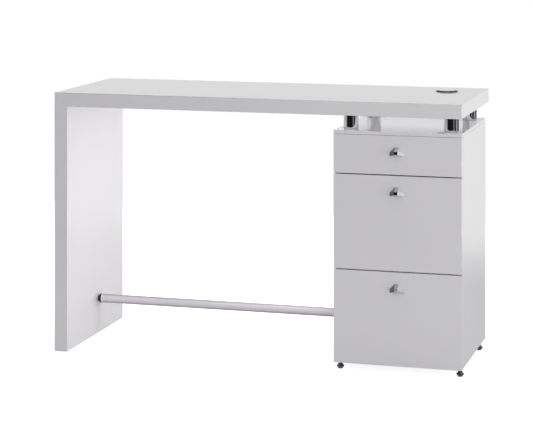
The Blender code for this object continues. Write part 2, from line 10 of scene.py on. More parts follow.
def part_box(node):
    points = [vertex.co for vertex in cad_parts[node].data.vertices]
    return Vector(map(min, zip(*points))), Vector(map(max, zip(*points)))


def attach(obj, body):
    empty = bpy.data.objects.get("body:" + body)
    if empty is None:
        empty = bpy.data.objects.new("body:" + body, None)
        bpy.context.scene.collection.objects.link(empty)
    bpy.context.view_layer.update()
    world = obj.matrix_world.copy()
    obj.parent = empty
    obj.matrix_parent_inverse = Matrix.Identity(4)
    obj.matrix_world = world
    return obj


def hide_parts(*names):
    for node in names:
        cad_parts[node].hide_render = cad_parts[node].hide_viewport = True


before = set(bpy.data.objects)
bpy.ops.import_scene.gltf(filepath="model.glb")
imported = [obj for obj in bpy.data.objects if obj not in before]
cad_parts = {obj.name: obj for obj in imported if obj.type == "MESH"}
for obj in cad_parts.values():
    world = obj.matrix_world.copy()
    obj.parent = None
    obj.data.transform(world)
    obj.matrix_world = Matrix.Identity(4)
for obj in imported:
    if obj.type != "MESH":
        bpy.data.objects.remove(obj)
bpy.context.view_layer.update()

DRAWERS = ("lower", "middle", "upper")
SIDES = ("left", "right")
CORNERS = ("front_left", "front_right", "back_left", "back_right")

# Edges: the width of their bevels
BOARD_EDGE = 0.0011
FRONT_EDGE = 0.0009
BOX_EDGE = 0.0005
METAL_EDGE = 0.0008
SMALL_EDGE = 0.0004
TINY_EDGE = 0.0003
EDGE_SEGMENTS = 3
FLAT_ANGLE_DEG = 1  # faces that meet within this angle are one flat face
WELD_DISTANCE = 0.00001

# How many sides a turned piece or a hole has
FINE_STEPS = 128
ROUND_STEPS = 96
FOOT_STEPS = 64
BOLT_STEPS = 48
SCREW_STEPS = 32
HOLE_STEPS = 24
PIN_HOLE_STEPS = 16
HEX_STEPS = 6

# Holes and grooves
SLACK = 0.0003  # between pieces that lie in each other
CUT_PAST = 0.01  # how far a cutter passes the face that it opens
BOLT_HOLE_RADIUS = 0.0046
BOLT_HOLE_SPARE = 0.002  # depth beyond the bolt's tip
FOOT_HOLE_RADIUS = 0.0034
FOOT_HOLE_SPARE = 0.004
MITRE_TOLERANCE = 0.00001
SPLINE_THICKNESS = 0.004

# Posts and bolts
POST_BORE_RADIUS = 0.0045
BOLT_RADIUS = 0.0040
BOLT_HEAD_HEIGHT = 0.0045
BOLT_HEAD_EDGE = 0.0005
BOLT_SOCKET_RADIUS = 0.0032
BOLT_SOCKET_DEPTH = 0.0025
BOLT_THREAD_LENGTH = 0.022
THREAD_PITCH = 0.0012
THREAD_DEPTH = 0.0005

# Cable grommet
GROMMET_HOLE_RADIUS = 0.0285
GROMMET_SLEEVE_WALL = 0.0022
GROMMET_LEDGE_RADIUS = 0.0232
GROMMET_LEDGE_DEPTH = 0.004
GROMMET_LEDGE_THICKNESS = 0.0015
GROMMET_FLANGE_EDGE = 0.0009
GROMMET_BORE_EDGE = 0.0006
CAP_EDGE = 0.0007
CAP_CROWN_WIDTH = 0.004  # of the gently falling band round the cap's flat top
CABLE_SLOT_WIDTH = 0.016
CABLE_SLOT_INNER = 0.012

# Feet and glides
FOOT_STEM_RADIUS = 0.0030
FOOT_NECK_RADIUS = 0.0046
FOOT_NECK_LOW = 0.0160
FOOT_SHOULDER = 0.0090
FOOT_SHOULDER_INSET = 0.0012
FOOT_SHOULDER_DROP = 0.0007
FOOT_RIM = 0.0069
FOOT_RIM_BEND = 0.0010
FOOT_SOLE_RADIUS = 0.0062
FOOT_SOLE_BEND = 0.0009
GLIDE_PIN_RADIUS = 0.0012
GLIDE_PIN_POINT = 0.002
GLIDE_HEIGHT = 0.0007
GLIDE_BEND = 0.0008

# Foot rail
RAIL_WALL = 0.0012
SOCKET_FLOOR = 0.009  # height above the panel where the tube ends
SOCKET_RING_START = 0.0125
SOCKET_FOOT_SHARE = 0.52  # of the socket's radius, where its flare meets the panel
SOCKET_FLARE_STEPS = 9

# Drawers
BOX_WALL = 0.012
PULL_CREST_WIDTH = 0.010
PULL_NOSE_SIZE = 0.0095
PULL_NOSE_RISE = 0.0063
PULL_FOOT_WIDTH = 0.042
PULL_HEIGHT = 0.0259
PULL_END_HEIGHT = 0.0108
PULL_EDGE = 0.0004
SLIDE_SHEET = 0.0012
SLIDE_EDGE = 0.00048
SLIDE_SCREW_RADIUS = 0.0033
SLIDE_SCREW_HEIGHT = 0.0015
SLIDE_SCREW_PLACES = (0.12, 0.5, 0.88)  # shares of the drawer member's length

# Pan-head screws
SCREW_HEAD_RADIUS = 0.0040
SCREW_HEAD_HEIGHT = 0.0024
SCREW_HEAD_EDGE = 0.0002
SCREW_HEAD_BEND = 0.0010
SCREW_SHANK_RADIUS = 0.0019
SCREW_POINT = 0.0005
SCREW_THREAD_PITCH = 0.0008
SCREW_THREAD_DEPTH = 0.0003
RECESS_REACH = 0.55  # of the head's radius
RECESS_HALF_WIDTH = 0.0005
RECESS_DEPTH = 0.6  # of the head's height

# Camera: where the photographer stood, and the lens shift that keeps upright edges upright
CAMERA_PLACE = (1.4877, -5.2993, 1.3145)
CAMERA_YAW_DEG = 15.882
CAMERA_LENS_MM = 126.24
CAMERA_SENSOR_MM = 36.0
CAMERA_SHIFT_Y = -0.5858
CAMERA_CLIP_END = 60
CAMERA_PLACE_TOLERANCE = 0.01

# Floor: its glow to the camera, and the grey patch that polished pieces see
FLOOR_HALF_SIZE = 2.3
FLOOR_Z = -0.0005
FLOOR_FADE_START = 1.2
FLOOR_GLOW = 0.85
FLOOR_IN_METAL = 0.47


# ---------------------------------------------------------------- shapes


def new_mesh(bm, name):
    bmesh.ops.recalc_face_normals(bm, faces=bm.faces)
    mesh = bpy.data.meshes.new(name)
    bm.to_mesh(mesh)
    bm.free()
    return mesh


def arc(radius, height, bend, start_deg, end_deg, steps=5):
    """Points of an arc round (radius, height), for a turned profile. 0 degrees points outwards."""
    angles = [start_deg + (end_deg - start_deg) * i / steps for i in range(steps + 1)]
    return [
        (radius + bend * math.cos(math.radians(a)), height + bend * math.sin(math.radians(a)))
        for a in angles
    ]


def threads(radius, high, low, pitch=THREAD_PITCH, depth=THREAD_DEPTH):
    """Ridges down a screw's shank, from high to low."""
    count = int((high - low) / pitch)
    points = []
    for i in range(count):
        crest = high - i * pitch
        points += [(radius, crest), (radius - depth, crest - pitch / 2)]
    return points + [(radius, low)]


def turned_mesh(name, profile, steps=ROUND_STEPS, sharp_deg=35):
    """A profile of (radius, z) points turned about Z. One that stays off the axis is a ring."""
    bm = bmesh.new()
    rings = []
    for radius, height in profile:
        if radius == 0.0:
            rings.append([bm.verts.new((0.0, 0.0, height))])
            continue
        turns = [2 * math.pi * i / steps for i in range(steps)]
        rings.append(
            [bm.verts.new((radius * math.cos(t), radius * math.sin(t), height)) for t in turns]
        )
    ring_shaped = len(rings[0]) > 1
    pairs = list(zip(rings, rings[1:] + rings[:1] if ring_shaped else rings[1:]))
    for upper, lower in pairs:
        for i in range(steps):
            j = (i + 1) % steps
            corners = [upper[i % len(upper)], upper[j % len(upper)]]
            corners += [lower[j % len(lower)], lower[i % len(lower)]]
            bm.faces.new(dict.fromkeys(corners))
    mesh = new_mesh(bm, name)
    mesh.shade_smooth()
    mesh.set_sharp_from_angle(angle=math.radians(sharp_deg))
    return mesh


def prism_mesh(name, outline, direction, edge=0.0, keep_sharp=None):
    """A flat outline pushed along a direction, with its edges rounded.
    keep_sharp(point) is true for the points whose shared edges stay square."""
    bm = bmesh.new()
    face = bm.faces.new([bm.verts.new(point) for point in outline])
    pushed = bmesh.ops.extrude_face_region(bm, geom=[face])
    far_points = [item for item in pushed["geom"] if isinstance(item, bmesh.types.BMVert)]
    bmesh.ops.translate(bm, vec=direction, verts=far_points)
    bmesh.ops.recalc_face_normals(bm, faces=bm.faces)
    if edge:
        edges = [
            e for e in bm.edges
            if not (keep_sharp and all(keep_sharp(v.co) for v in e.verts))
        ]
        bmesh.ops.bevel(
            bm, geom=edges, offset=edge, segments=EDGE_SEGMENTS, profile=0.5,
            affect="EDGES", clamp_overlap=True,
        )
    mesh = new_mesh(bm, name)
    mesh.shade_smooth()
    return mesh


def box_mesh(name, low, high, edge=0.0):
    outline = [
        (low[0], low[1], low[2]), (high[0], low[1], low[2]),
        (high[0], high[1], low[2]), (low[0], high[1], low[2]),
    ]
    return prism_mesh(name, outline, (0, 0, high[2] - low[2]), edge)


def cylinder_mesh(name, radius, low, high, steps=BOLT_STEPS):
    return turned_mesh(name, [(0, high), (radius, high), (radius, low), (0, low)], steps)


def carve(mesh, cutters):
    """The mesh with other shapes cut out of it. Each cutter is (mesh, matrix)."""
    target = bpy.data.objects.new("carved", mesh)
    bpy.context.scene.collection.objects.link(target)
    helpers = []
    for cutter_mesh, matrix in cutters:
        cutter = bpy.data.objects.new("cutter", cutter_mesh)
        cutter.matrix_world = matrix
        cutter.hide_render = True
        bpy.context.scene.collection.objects.link(cutter)
        helpers.append(cutter)
        boolean = target.modifiers.new("cut", "BOOLEAN")
        boolean.operation = "DIFFERENCE"
        boolean.solver = "EXACT"
        boolean.object = cutter
    bpy.context.view_layer.update()
    graph = bpy.context.evaluated_depsgraph_get()
    result = bpy.data.meshes.new_from_object(target.evaluated_get(graph))
    for item in helpers + [target]:
        bpy.data.objects.remove(item)
    return result


def show(name, mesh, body, look, nodes=()):
    """Makes a visible piece that rides on a body and stands for CAD nodes. A look is a material and
    the name of a slot for it."""
    material, slot = look
    mesh.materials.clear()
    mesh.materials.append(material)
    piece = bpy.data.objects.new(name, mesh)
    bpy.context.scene.collection.objects.link(piece)
    normals = piece.modifiers.new("even_normals", "WEIGHTED_NORMAL")
    normals.mode = "FACE_AREA"
    normals.weight = 100
    normals.keep_sharp = True
    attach(piece, body)
    if nodes:
        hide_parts(*nodes)


def middle(node):
    low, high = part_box(node)
    return (low + high) / 2


def moved(mesh, matrix):
    mesh.transform(matrix)
    return mesh


def upright_at(node):
    """Takes what was made round the world's Z axis to the upright axis of a node."""
    centre = middle(node)
    return Matrix.Translation((centre.x, centre.y, 0))


def hole_at(node, radius, low, high, steps=HOLE_STEPS):
    """A cutter for an upright hole on a node's axis."""
    return cylinder_mesh("hole", radius, low, high, steps), upright_at(node)


def along_axis(place, direction):
    """Takes +Z to a direction, at a place."""
    turn = Vector((0, 0, 1)).rotation_difference(Vector(direction))
    return Matrix.Translation(place) @ turn.to_matrix().to_4x4()


# ---------------------------------------------------------------- materials


class Surface:
    """A node-built material: short calls that add a node and wire it up."""

    EDGE_COSINE = 0.85  # of the turn that counts fully as an edge

    def __init__(self, name):
        self.material = bpy.data.materials.new(name)
        self.material.use_nodes = True
        self.tree = self.material.node_tree
        self.shader = self.tree.nodes["Principled BSDF"]
        coordinates = self.add("ShaderNodeTexCoord")
        self.place = coordinates.outputs["Object"]

    def add(self, kind, **settings):
        node = self.tree.nodes.new(kind)
        for key, value in settings.items():
            setattr(node, key, value)
        return node

    def wire(self, output, socket):
        self.tree.links.new(output, socket)

    def set(self, **values):
        for key, value in values.items():
            self.shader.inputs[key.replace("_", " ")].default_value = value

    def stretched(self, scale):
        mapping = self.add("ShaderNodeMapping")
        mapping.inputs["Scale"].default_value = scale
        self.wire(self.place, mapping.inputs["Vector"])
        return mapping.outputs["Vector"]

    def noise(self, scale, detail=4.0, roughness=0.5, stretch=(1, 1, 1)):
        texture = self.add("ShaderNodeTexNoise")
        texture.inputs["Scale"].default_value = scale
        texture.inputs["Detail"].default_value = detail
        texture.inputs["Roughness"].default_value = roughness
        self.wire(self.stretched(stretch), texture.inputs["Vector"])
        return texture.outputs["Fac"]

    def cells(self, scale):
        texture = self.add("ShaderNodeTexVoronoi")
        texture.inputs["Scale"].default_value = scale
        self.wire(self.place, texture.inputs["Vector"])
        return texture.outputs["Color"]

    def ramp(self, factor, *stops):
        """Colour by a 0 to 1 factor. Each stop is (position, grey or colour)."""
        ramp = self.add("ShaderNodeValToRGB")
        elements = ramp.color_ramp.elements
        while len(elements) < len(stops):
            elements.new(0.5)
        for element, (position, colour) in zip(elements, stops):
            element.position = position
            rgb = colour if isinstance(colour, tuple) else (colour,) * 3
            element.color = (*rgb, 1.0)
        self.wire(factor, ramp.inputs["Fac"])
        return ramp.outputs["Color"]

    def bump(self, *layers):
        """Each layer is (height, distance in metres). They add up, coarse first."""
        last = None
        for height, distance in layers:
            node = self.add("ShaderNodeBump")
            node.inputs["Strength"].default_value = 1.0
            node.inputs["Distance"].default_value = distance
            self.wire(height, node.inputs["Height"])
            if last is not None:
                self.wire(last, node.inputs["Normal"])
            last = node.outputs["Normal"]
        self.wire(last, self.shader.inputs["Normal"])
        return last

    def edge_mask(self, radius):
        """1 where a surface turns within the radius, such as along a board's edge."""
        bevel = self.add("ShaderNodeBevel", samples=4)
        bevel.inputs["Radius"].default_value = radius
        geometry = self.add("ShaderNodeNewGeometry")
        dot = self.add("ShaderNodeVectorMath", operation="DOT_PRODUCT")
        self.wire(bevel.outputs["Normal"], dot.inputs[0])
        self.wire(geometry.outputs["Normal"], dot.inputs[1])
        fade = self.add("ShaderNodeMapRange")
        fade.inputs["From Min"].default_value = 1.0
        fade.inputs["From Max"].default_value = self.EDGE_COSINE
        self.wire(dot.outputs["Value"], fade.inputs["Value"])
        return fade.outputs["Result"]

    def mix(self, factor, first, second):
        node = self.add("ShaderNodeMix", data_type="RGBA")
        self.wire(factor, node.inputs["Factor"])
        for socket, colour in ((node.inputs["A"], first), (node.inputs["B"], second)):
            if isinstance(colour, tuple):
                socket.default_value = (*colour, 1.0)
            else:
                self.wire(colour, socket)
        return node.outputs["Result"]


def gloss_lacquer():
    """White high-gloss lacquer: a faint tint drift, fine orange peel and a clear top coat."""
    s = Surface("gloss_white_lacquer")
    tint = s.ramp(s.noise(1.6, 2.0), (0.3, (0.820, 0.806, 0.830)), (0.7, (0.828, 0.814, 0.837)))
    # Painted shade: a slightly darker band along every edge, standing in for the dark line at the
    # arrises.
    edge_painted_shade = s.mix(s.edge_mask(0.0012), tint, (0.790, 0.784, 0.796))
    s.wire(edge_painted_shade, s.shader.inputs["Base Color"])
    s.wire(s.ramp(s.noise(35.0, 4.0), (0.3, 0.24), (0.7, 0.32)), s.shader.inputs["Roughness"])
    smears = s.ramp(s.noise(9.0, 5.0, 0.6), (0.35, 0.02), (0.75, 0.06))
    s.wire(smears, s.shader.inputs["Coat Roughness"])
    s.set(Coat_Weight=1.0, Coat_IOR=1.48, Specular_IOR_Level=0.0)
    peel = s.bump((s.noise(60.0, 2.0), 0.000004), (s.noise(260.0, 2.0), 0.0000006))
    s.wire(peel, s.shader.inputs["Coat Normal"])
    return s.material


def melamine():
    """Matt white paper foil on board, with a fine pore texture."""
    s = Surface("white_melamine")
    colour = s.ramp(s.noise(14.0, 6.0), (0.3, (0.74, 0.74, 0.73)), (0.7, (0.78, 0.78, 0.77)))
    s.wire(colour, s.shader.inputs["Base Color"])
    s.wire(s.ramp(s.noise(600.0, 2.0), (0.3, 0.42), (0.7, 0.56)), s.shader.inputs["Roughness"])
    s.bump((s.noise(1800.0, 3.0, stretch=(1.0, 0.25, 1.0)), 0.00003))
    return s.material


def chrome():
    """Bright plating with faint smears and hairline polishing marks."""
    s = Surface("polished_chrome")
    haze = s.noise(22.0, 5.0, 0.6)
    s.wire(s.ramp(haze, (0.35, (0.660, 0.667, 0.680)), (0.8, (0.620, 0.627, 0.640))),
           s.shader.inputs["Base Color"])
    s.wire(s.ramp(haze, (0.4, 0.04), (0.8, 0.09)), s.shader.inputs["Roughness"])
    s.set(Metallic=1.0)
    s.bump((s.noise(900.0, 2.0, stretch=(1.0, 1.0, 0.05)), 0.0000012))
    return s.material


def chrome_painted_shade_highlight():
    """The pulls' plating, with painted shade on the flanks that face -X and a painted highlight on those
    that face +X.
    """
    s = Surface("chrome_painted_shade_highlight")
    haze = s.noise(40.0, 5.0, 0.6)
    plate = s.ramp(haze, (0.35, (0.60, 0.62, 0.61)), (0.8, (0.55, 0.57, 0.57)))
    geometry = s.add("ShaderNodeNewGeometry")
    facing = s.add("ShaderNodeSeparateXYZ")
    s.wire(geometry.outputs["Normal"], facing.inputs["Vector"])
    # Painted light: flanks that face -X are darkened to paint shade, and flanks that face +X are
    # lightened to paint a highlight.
    for start, end, tone in ((-0.25, -0.50, (0.15, 0.15, 0.16)), (0.25, 0.50, (0.93, 0.93, 0.94))):
        painted_flank_mask = s.add("ShaderNodeMapRange")
        painted_flank_mask.inputs["From Min"].default_value = start
        painted_flank_mask.inputs["From Max"].default_value = end
        s.wire(facing.outputs["X"], painted_flank_mask.inputs["Value"])
        plate = s.mix(painted_flank_mask.outputs["Result"], plate, tone)
    s.wire(plate, s.shader.inputs["Base Color"])
    s.wire(s.ramp(haze, (0.4, 0.04), (0.8, 0.09)), s.shader.inputs["Roughness"])
    s.set(Metallic=1.0)
    s.bump((s.noise(900.0, 2.0, stretch=(1.0, 1.0, 0.05)), 0.0000012))
    return s.material


def socket_ring_painted_highlight():
    """The polished collar of the rail sockets, with turning lines round it; its nearly white colour is a
    painted highlight.
    """
    s = Surface("socket_ring_painted_highlight")
    lines = s.noise(1500.0, 2.0, stretch=(1.0, 0.05, 0.05))
    # Painted highlight: the nearly white base colour stands for the glint round the socket's rim.
    s.wire(s.ramp(lines, (0.3, 0.88), (0.7, 0.95)), s.shader.inputs["Base Color"])
    s.wire(s.ramp(lines, (0.3, 0.16), (0.7, 0.26)), s.shader.inputs["Roughness"])
    s.set(Metallic=0.1, Coat_Weight=0.5)
    s.bump((lines, 0.000004))
    return s.material


def satin_steel():
    """A satin tube, pale with a breath of lilac: hairlines along its length, and painted shade that
    darkens it towards its rims, where it turns from view.
    """
    s = Surface("satin_steel_tube")
    lines = s.noise(700.0, 3.0, stretch=(0.02, 1.0, 1.0))
    pale = s.ramp(lines, (0.3, (0.83, 0.79, 0.85)), (0.7, (0.88, 0.84, 0.90)))
    facing = s.add("ShaderNodeLayerWeight")
    facing.inputs["Blend"].default_value = 0.5
    # Painted shade: the colour darkens where the tube turns away from view, for the dark lines along its
    # top and bottom.
    rim = s.ramp(facing.outputs["Facing"], (0.15, 0.0), (0.45, 1.0))
    s.wire(s.mix(rim, pale, (0.50, 0.47, 0.52)), s.shader.inputs["Base Color"])
    s.wire(s.ramp(lines, (0.3, 0.40), (0.7, 0.52)), s.shader.inputs["Roughness"])
    s.set(Metallic=0.15, Specular_IOR_Level=0.2)
    s.bump((lines, 0.000006))
    return s.material


def zinc_steel():
    """Zinc plate on folded steel: a pale spangle with a bluish cast."""
    s = Surface("zinc_plated_steel")
    spangle = s.cells(160.0)
    s.wire(s.ramp(spangle, (0.2, (0.50, 0.52, 0.54)), (0.8, (0.62, 0.63, 0.65))),
           s.shader.inputs["Base Color"])
    s.wire(s.ramp(s.noise(90.0, 4.0), (0.3, 0.28), (0.7, 0.45)), s.shader.inputs["Roughness"])
    s.set(Metallic=1.0)
    s.bump((s.noise(500.0, 3.0), 0.000008))
    return s.material


def black_nickel(name, tone):
    """Dark plated metal, scuffed grey where it turns."""
    s = Surface(name)
    light = (tone * 1.5, tone * 1.5, tone * 1.6)
    dark = (tone, tone, tone * 1.1)
    base = s.ramp(s.noise(60.0, 4.0), (0.3, dark), (0.7, light))
    s.wire(s.mix(s.edge_mask(0.0006), base, (0.09, 0.09, 0.095)), s.shader.inputs["Base Color"])
    s.wire(s.ramp(s.noise(120.0, 3.0), (0.3, 0.18), (0.7, 0.34)), s.shader.inputs["Roughness"])
    s.set(Metallic=0.7, Specular_IOR_Level=0.3)
    s.bump((s.noise(700.0, 2.0), 0.000006))
    return s.material


def glide_plastic():
    s = Surface("black_glide_plastic")
    s.wire(s.ramp(s.noise(200.0), (0.3, 0.020), (0.7, 0.040)), s.shader.inputs["Base Color"])
    s.wire(s.ramp(s.noise(300.0), (0.3, 0.45), (0.7, 0.65)), s.shader.inputs["Roughness"])
    s.bump((s.noise(1500.0), 0.00002))
    return s.material


def beech():
    """Raw beech: long growth bands and short dark flecks."""
    s = Surface("raw_beech")
    bands = s.noise(60.0, 5.0, 0.6, stretch=(1.0, 0.06, 1.0))
    s.wire(s.ramp(bands, (0.3, (0.42, 0.27, 0.15)), (0.7, (0.56, 0.38, 0.23))),
           s.shader.inputs["Base Color"])
    s.set(Roughness=0.62)
    s.bump((bands, 0.00005))
    return s.material


def paper_floor():
    """A pale studio sweep. It looks evenly white to the camera, with only a breath of shadow.
    Polished pieces see it as a grey patch that fades out, so it leaves no edge in them."""
    s = Surface("studio_floor")
    s.wire(s.ramp(s.noise(3.0), (0.3, 0.64), (0.7, 0.66)), s.shader.inputs["Base Color"])
    s.set(Roughness=0.9, Specular_IOR_Level=0.0)
    s.shader.inputs["Emission Color"].default_value = (1.0, 1.0, 1.0, 1.0)
    rays = s.add("ShaderNodeLightPath")
    glow = s.add("ShaderNodeMath", operation="MULTIPLY")
    glow.inputs[1].default_value = FLOOR_GLOW
    s.wire(rays.outputs["Is Camera Ray"], glow.inputs[0])
    s.wire(glow.outputs["Value"], s.shader.inputs["Emission Strength"])

    reach = s.add("ShaderNodeVectorMath", operation="LENGTH")
    s.wire(s.place, reach.inputs[0])
    fade = s.add("ShaderNodeMapRange", interpolation_type="SMOOTHSTEP")
    fade.inputs["From Min"].default_value = FLOOR_FADE_START
    fade.inputs["From Max"].default_value = FLOOR_HALF_SIZE
    s.wire(reach.outputs["Value"], fade.inputs["Value"])
    grey = s.add("ShaderNodeEmission")
    grey.inputs["Strength"].default_value = FLOOR_IN_METAL
    clear = s.add("ShaderNodeBsdfTransparent")
    seen_in_metal = s.add("ShaderNodeMixShader")
    s.wire(fade.outputs["Result"], seen_in_metal.inputs["Fac"])
    s.wire(grey.outputs["Emission"], seen_in_metal.inputs[1])
    s.wire(clear.outputs["BSDF"], seen_in_metal.inputs[2])
    by_ray = s.add("ShaderNodeMixShader")
    s.wire(rays.outputs["Is Glossy Ray"], by_ray.inputs["Fac"])
    s.wire(s.shader.outputs["BSDF"], by_ray.inputs[1])
    s.wire(seen_in_metal.outputs["Shader"], by_ray.inputs[2])
    s.wire(by_ray.outputs["Shader"], s.tree.nodes["Material Output"].inputs["Surface"])
    return s.material


def make_looks():
    """Each look is a material and the name of a slot for it."""
    return {
        "lacquer": (gloss_lacquer(), "lacquer_board"),
        "melamine": (melamine(), "melamine"),
        "chrome": (chrome(), "chrome"),
        "chrome_painted_shade_highlight": (chrome_painted_shade_highlight(), "chrome"),
        "socket_ring_painted_highlight": (socket_ring_painted_highlight(), "chrome"),
        "satin_steel": (satin_steel(), "satin_steel"),
        "zinc_steel": (zinc_steel(), "zinc_steel"),
        "black_nickel": (black_nickel("black_nickel", 0.035), "black_nickel"),
        "worn_nickel": (black_nickel("worn_nickel", 0.10), "black_nickel"),
        "glide_plastic": (glide_plastic(), "glide_plastic"),
        "beech": (beech(), "beech"),
    }


# ---------------------------------------------------------------- pieces


def mitre_below(x, z):
    """Tells which points lie on the mitre, a line that falls at 45 degrees from a corner at x, z."""

    def on_mitre(point):
        return abs((point.x - x) - (z - point.z)) < MITRE_TOLERANCE

    return on_mitre


def build_top_and_leg(looks):
    """Two boards that meet in a mitre. The mitre's own edges stay square, so the joint closes."""
    low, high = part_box("table_top")
    leg_low, leg_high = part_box("leg_panel")
    thickness = high.z - low.z
    depth = (0, high.y - low.y, 0)

    outline = [
        (low.x, low.y, high.z),
        (low.x + thickness, low.y, low.z),
        (high.x, low.y, low.z),
        (high.x, low.y, high.z),
    ]
    on_mitre = mitre_below(low.x, high.z)
    top = prism_mesh("table_top_mesh", outline, depth, BOARD_EDGE, on_mitre)
    below, above = low.z - thickness, high.z + thickness
    cutters = [hole_at("grommet_ring", GROMMET_HOLE_RADIUS, below, above, BOLT_STEPS)]
    for corner in CORNERS:
        bolt = f"post_bolt_{corner}"
        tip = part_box(bolt)[1].z + BOLT_HOLE_SPARE
        cutters.append(hole_at(bolt, BOLT_HOLE_RADIUS, below, tip))
    cutters.append(spline_groove())
    show("table_top_board", carve(top, cutters), "table", looks["lacquer"], ["table_top"])

    outline = [
        (leg_low.x, leg_low.y, leg_low.z),
        (leg_high.x, leg_low.y, leg_low.z),
        (leg_high.x, leg_low.y, leg_high.z - thickness),
        (leg_low.x, leg_low.y, leg_high.z),
    ]
    on_mitre = mitre_below(leg_low.x, leg_high.z)
    leg = prism_mesh("leg_panel_mesh", outline, depth, BOARD_EDGE, on_mitre)
    cutters = [spline_groove()]
    for place in ("front", "back"):
        glide = f"leg_glide_{place}"
        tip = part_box(glide)[1].z
        cutters.append(hole_at(glide, GLIDE_PIN_RADIUS + SLACK, -thickness, tip, PIN_HOLE_STEPS))
    show("leg_panel_board", carve(leg, cutters), "table", looks["lacquer"], ["leg_panel"])


def spline_mesh(name, grow, edge=0.0):
    """The mitre's tongue, or with grow above 0 the groove that it lies in."""
    low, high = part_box("mitre_spline")
    centre = (low + high) / 2
    across = (high.x - low.x) * math.sqrt(2)
    width = across - SPLINE_THICKNESS
    half = Vector((width, high.y - low.y, SPLINE_THICKNESS)) / 2 + Vector((grow, grow, grow))
    turn = Matrix.Rotation(-math.radians(45), 4, "Y")
    return moved(box_mesh(name, -half, half, edge), Matrix.Translation(centre) @ turn)


def spline_groove():
    return spline_mesh("spline_groove", SLACK), Matrix.Identity(4)


def build_spline(looks):
    tongue = spline_mesh("mitre_spline_mesh", 0.0, SMALL_EDGE)
    show("mitre_spline_tongue", tongue, "table", looks["beech"], ["mitre_spline"])


def build_panels(looks):
    """The pedestal's five panels, with the holes for the post bolts and the feet."""
    for name in ("pedestal_back", "pedestal_bottom"):
        low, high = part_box(name)
        panel = box_mesh(f"{name}_mesh", low, high, FRONT_EDGE)
        show(f"{name}_panel", panel, "table", looks["lacquer"], [name])

    low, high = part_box("pedestal_top")
    cutters = [
        hole_at(f"post_bolt_{corner}", BOLT_HOLE_RADIUS, low.z - CUT_PAST, high.z + CUT_PAST)
        for corner in CORNERS
    ]
    top = carve(box_mesh("pedestal_top_mesh", low, high, FRONT_EDGE), cutters)
    show("pedestal_top_panel", top, "table", looks["lacquer"], ["pedestal_top"])

    for side in SIDES:
        name = f"pedestal_side_{side}"
        low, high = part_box(name)
        cutters = []
        for row in ("front", "back"):
            foot = f"levelling_foot_{row}_{side}"
            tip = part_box(foot)[1].z + FOOT_HOLE_SPARE
            cutters.append(hole_at(foot, FOOT_HOLE_RADIUS, low.z - CUT_PAST, tip))
        panel = carve(box_mesh(f"{name}_mesh", low, high, FRONT_EDGE), cutters)
        show(f"{name}_panel", panel, "table", looks["lacquer"], [name])


def build_post(corner, looks):
    """A chrome tube with rounded ends."""
    node = f"spacer_post_{corner}"
    low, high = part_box(node)
    radius = (high.x - low.x) / 2
    inner = radius - METAL_EDGE
    profile = [(POST_BORE_RADIUS, high.z), (POST_BORE_RADIUS, low.z)]
    profile += arc(inner, low.z + METAL_EDGE, METAL_EDGE, -90, 0)
    profile += arc(inner, high.z - METAL_EDGE, METAL_EDGE, 0, 90)
    tube = moved(turned_mesh(f"{node}_mesh", profile), upright_at(node))
    show(f"{node}_tube", tube, "table", looks["chrome"], [node])


def build_post_bolt(corner, looks):
    """The socket-head bolt that comes up through a post."""
    node = f"post_bolt_{corner}"
    low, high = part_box(node)
    head = (high.x - low.x) / 2
    head_top = low.z + BOLT_HEAD_HEIGHT
    profile = [(0, high.z), (BOLT_RADIUS - METAL_EDGE, high.z)]
    profile += threads(BOLT_RADIUS, high.z - METAL_EDGE, high.z - BOLT_THREAD_LENGTH)
    profile += [(BOLT_RADIUS, head_top)]
    profile += [(head - TINY_EDGE, head_top), (head, head_top - TINY_EDGE)]
    profile += [(head, low.z + BOLT_HEAD_EDGE), (head - BOLT_HEAD_EDGE, low.z), (0, low.z)]
    bolt = turned_mesh(f"{node}_mesh", profile, BOLT_STEPS)
    socket_high = low.z + BOLT_SOCKET_DEPTH
    socket = cylinder_mesh("hex", BOLT_SOCKET_RADIUS, low.z - CUT_PAST, socket_high, HEX_STEPS)
    bolt = moved(carve(bolt, [(socket, Matrix.Identity(4))]), upright_at(node))
    show(f"{node}_screw", bolt, "table", looks["zinc_steel"], [node])


